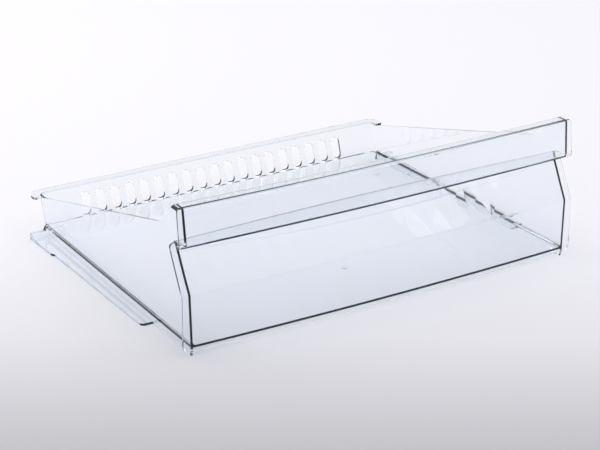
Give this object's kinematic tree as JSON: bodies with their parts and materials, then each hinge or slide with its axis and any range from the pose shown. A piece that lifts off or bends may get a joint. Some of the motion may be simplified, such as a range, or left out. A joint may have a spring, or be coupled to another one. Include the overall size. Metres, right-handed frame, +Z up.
{
  "type": "freezer drawer",
  "caption": "Clear moulded freezer drawer with a bowed front, a full-width finger recess under its handle band, sloping side walls, a slotted back wall and runner flanges.",
  "frame": {"origin": "middle of the footprint, on the surface that the drawer stands on", "axes": "+X across the front to the right as seen from the front, +Y from the front towards the back wall, +Z up"},
  "size_m": [0.4578, 0.3586, 0.146],
  "materials": {
    "clear_plastic": "clear, glossy, with a faint blue tint that shows where light runs along a wall"
  },
  "bodies": {
    "root": {"drawer": "clear_plastic"}
  },
  "joints": []
}
